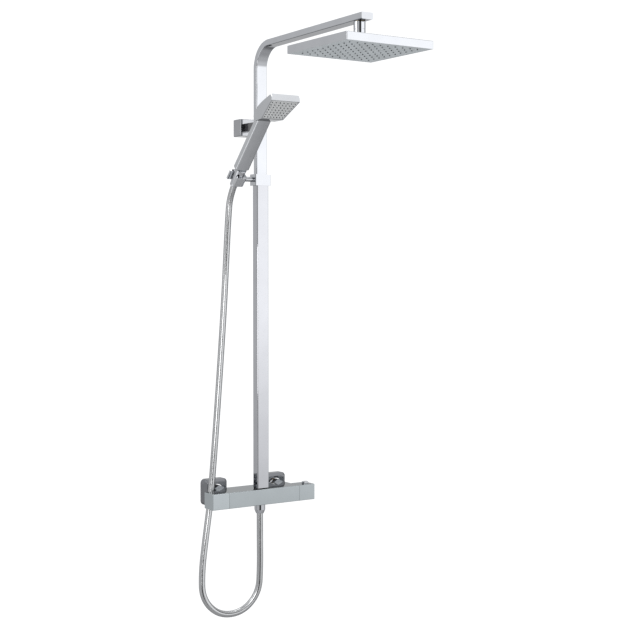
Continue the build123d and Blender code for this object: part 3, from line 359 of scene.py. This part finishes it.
def tube(name, centre, sides, ups, radii, around):
    """A closed tube of varying radius along a line."""
    turn = np.linspace(0.0, 2 * math.pi, around, endpoint=False)
    rings = (centre[:, None, :]
             + radii[:, None, None] * (np.cos(turn)[None, :, None] * sides[:, None, :]
                                       + np.sin(turn)[None, :, None] * ups[:, None, :]))
    vertices = np.concatenate([rings.reshape(-1, 3), centre[:1], centre[-1:]])
    count = len(centre)
    faces = []
    for i in range(count - 1):
        here, there = i * around, (i + 1) * around
        for j in range(around):
            k = (j + 1) % around
            faces.append((here + j, here + k, there + k, there + j))
    first, last = count * around, count * around + 1
    end = (count - 1) * around
    for j in range(around):
        k = (j + 1) % around
        faces.append((first, k, j))
        faces.append((last, end + j, end + k))
    return mesh_object(name, vertices, faces)


hose_line = spline_points(ROUTE)
places, centre, sides, ups = walk(hose_line, SHEATH_PITCH / RINGS_PER_TURN)
phase = (places / SHEATH_PITCH) % 1.0
bulge = np.minimum(1.0, np.abs(np.sin(math.pi * phase)) / GROOVE_RISE)
radii = HOSE_DIAMETER / 2 - SHEATH_DEPTH * (1 - bulge)
hose = tube("hose_sheath_tube", centre, sides, ups, radii, AROUND)
dress(hose, FINISH["hose"])
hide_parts("shower_hose")
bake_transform(hose)

# ------------------------------------------------------------------ studio
# Patches round the horizon: azimuth in degrees from +x towards +y, the angle from there within which
# the patch is full, and the angle at which it ends.
LOOKS_ALONG = 56.3           # azimuth that the camera looks along
BEHIND = (LOOKS_ALONG, 20, 42)
RIGHT = (-LOOKS_ALONG, 18, 42)            # what faces turned to -y mirror
LEFT = (180 - LOOKS_ALONG, 40, 70)        # what faces turned to -x mirror
SLIT = (LOOKS_ALONG - 170, 14, 19)        # ten degrees beside the camera, mirrored by the hose
LOW_RIGHT = (-LOOKS_ALONG, 20, 70)
LOW_LEFT = (172, 18, 48)

# Brightness, fitted to what the chrome in the photo mirrors.
WALLS = 0.80
BACKDROP = 1.10
SLIT_TONE = 0.02
OVER_RIGHT_WALL = 0.12
CEILING = 1.2
FLOOR = 0.30
FLOOR_RIGHT = 0.80
FLOOR_LEFT = 1.70
SKY_COLOR = (0.985, 0.99, 1.0, 1.0)

# How a brightness changes with the upward part of the direction: from, to, and its value at each.
RIGHT_WALL = (-0.19, -0.03, 1.05, 2.05)
LEFT_WALL = (-0.17, -0.04, 0.80, 0.93)
RIGHT_WALL_END = (0.185, 0.30)
CEILING_START = (0.40, 0.80)
FLOOR_START = (-0.30, -0.60)


def studio_world():
    """A world whose brightness depends on the direction, in soft-edged patches.

    What the camera itself sees past the object has only the backdrop's patch.
    """
    world = bpy.data.worlds.new("studio")
    world.use_nodes = True
    t = Tree(world.node_tree)
    out = t.add("ShaderNodeOutputWorld")
    sky = t.add("ShaderNodeBackground")
    t.put(out.inputs["Surface"], sky.outputs[0])
    direction = t.add("ShaderNodeTexCoord").outputs["Generated"]
    split = t.add("ShaderNodeSeparateXYZ")
    t.put(split.inputs[0], direction)
    height = split.outputs["Z"]
    level = t.vector("NORMALIZE", t.vector("MULTIPLY", direction, (1, 1, 0)))

    def lobe(value, patch, inside):
        """Blends to another brightness within one patch."""
        azimuth, full, end = (math.radians(angle) for angle in patch)
        dot = t.vector("DOT_PRODUCT", level, (math.cos(azimuth), math.sin(azimuth), 0.0))
        return t.mix(t.fade(dot, math.cos(end), math.cos(full)), value, inside)

    right_wall = t.remap(height, *RIGHT_WALL)
    right_wall = t.mix(t.fade(height, *RIGHT_WALL_END), right_wall, OVER_RIGHT_WALL)
    bright = lobe(WALLS, LEFT, t.remap(height, *LEFT_WALL))
    bright = lobe(bright, RIGHT, right_wall)
    bright = lobe(bright, SLIT, SLIT_TONE)
    bright = lobe(bright, BEHIND, BACKDROP)
    bright = t.mix(t.fade(height, *CEILING_START), bright, CEILING)
    below = lobe(lobe(FLOOR, LOW_RIGHT, FLOOR_RIGHT), LOW_LEFT, FLOOR_LEFT)
    bright = t.mix(t.fade(height, *FLOOR_START), bright, below)
    plain = lobe(WALLS, BEHIND, BACKDROP)
    seen = t.add("ShaderNodeLightPath").outputs["Is Camera Ray"]
    t.put(sky.inputs["Strength"], t.mix(seen, bright, plain))
    sky.inputs["Color"].default_value = SKY_COLOR
    return world


scene.world = studio_world()

FLOOR_Z = -1.0
FLOOR_RIM = 7.0              # half the floor's side
FLOOR_FADE = (1.1, 2.3)      # how far out the floor starts and ends turning clear
FLOOR_DARK, FLOOR_PALE = (0.42, 0.42, 0.425), (0.45, 0.45, 0.455)
FLOOR_ROUGH = (0.75, 0.85)
LIGHTS = (                   # name, place, target, width and depth, watts
    ("top_softbox", (0.6, 0.4, 3.4), (0.0, -0.1, 0.3), (2.4, 1.6), 40),
    ("left_softbox", (-3.0, 0.3, 1.9), (0.0, -0.1, 0.4), (1.2, 1.8), 26),
    ("floor_light", (-0.9, -1.2, 0.3), (0.0, -0.7, FLOOR_Z), (0.8, 0.8), 9),
)


def area(name, place, target, size, power):
    data = bpy.data.lights.new(name, "AREA")
    data.shape = "RECTANGLE"
    data.size, data.size_y = size
    data.energy = power
    obj = bpy.data.objects.new(name, data)
    scene.collection.objects.link(obj)
    obj.location = place
    obj.rotation_euler = (Vector(target) - Vector(place)).to_track_quat("-Z", "Y").to_euler()


def floor_paint():
    """Matt grey that fades to clear away from the middle."""
    paint = bpy.data.materials.new("floor_paint")
    paint.use_nodes = True
    t = Tree(paint.node_tree)
    out = t.add("ShaderNodeOutputMaterial")
    matt = t.add("ShaderNodeBsdfPrincipled")
    clear = t.add("ShaderNodeBsdfTransparent")
    blend = t.add("ShaderNodeMixShader")
    coords = t.add("ShaderNodeTexCoord").outputs["Object"]
    cloud = t.noise(coords, 1.5, 2.0)
    tone = t.ramp(cloud, (NOISE_LOW, FLOOR_DARK), (NOISE_HIGH, FLOOR_PALE))
    t.put(matt.inputs["Base Color"], tone)
    t.put(matt.inputs["Roughness"], t.remap(cloud, NOISE_LOW, NOISE_HIGH, *FLOOR_ROUGH))
    t.put(matt.inputs["Normal"], t.bump(t.noise(coords, 60.0, 3.0), 2e-4))
    reach = t.vector("LENGTH", t.vector("MULTIPLY", coords, (1, 1, 0)))
    t.put(blend.inputs[0], t.fade(reach, *FLOOR_FADE))
    t.put(blend.inputs[1], matt.outputs[0])
    t.put(blend.inputs[2], clear.outputs[0])
    t.put(out.inputs["Surface"], blend.outputs[0])
    return paint


for light in LIGHTS:
    area(*light)

floor_mesh = bpy.data.meshes.new("floor")
corners = [(x * FLOOR_RIM, y * FLOOR_RIM, FLOOR_Z) for x, y in ((-1, -1), (1, -1), (1, 1), (-1, 1))]
floor_mesh.from_pydata(corners, [], [(0, 1, 2, 3)])
floor = bpy.data.objects.new("floor", floor_mesh)
scene.collection.objects.link(floor)
floor_mesh.materials.append(floor_paint())
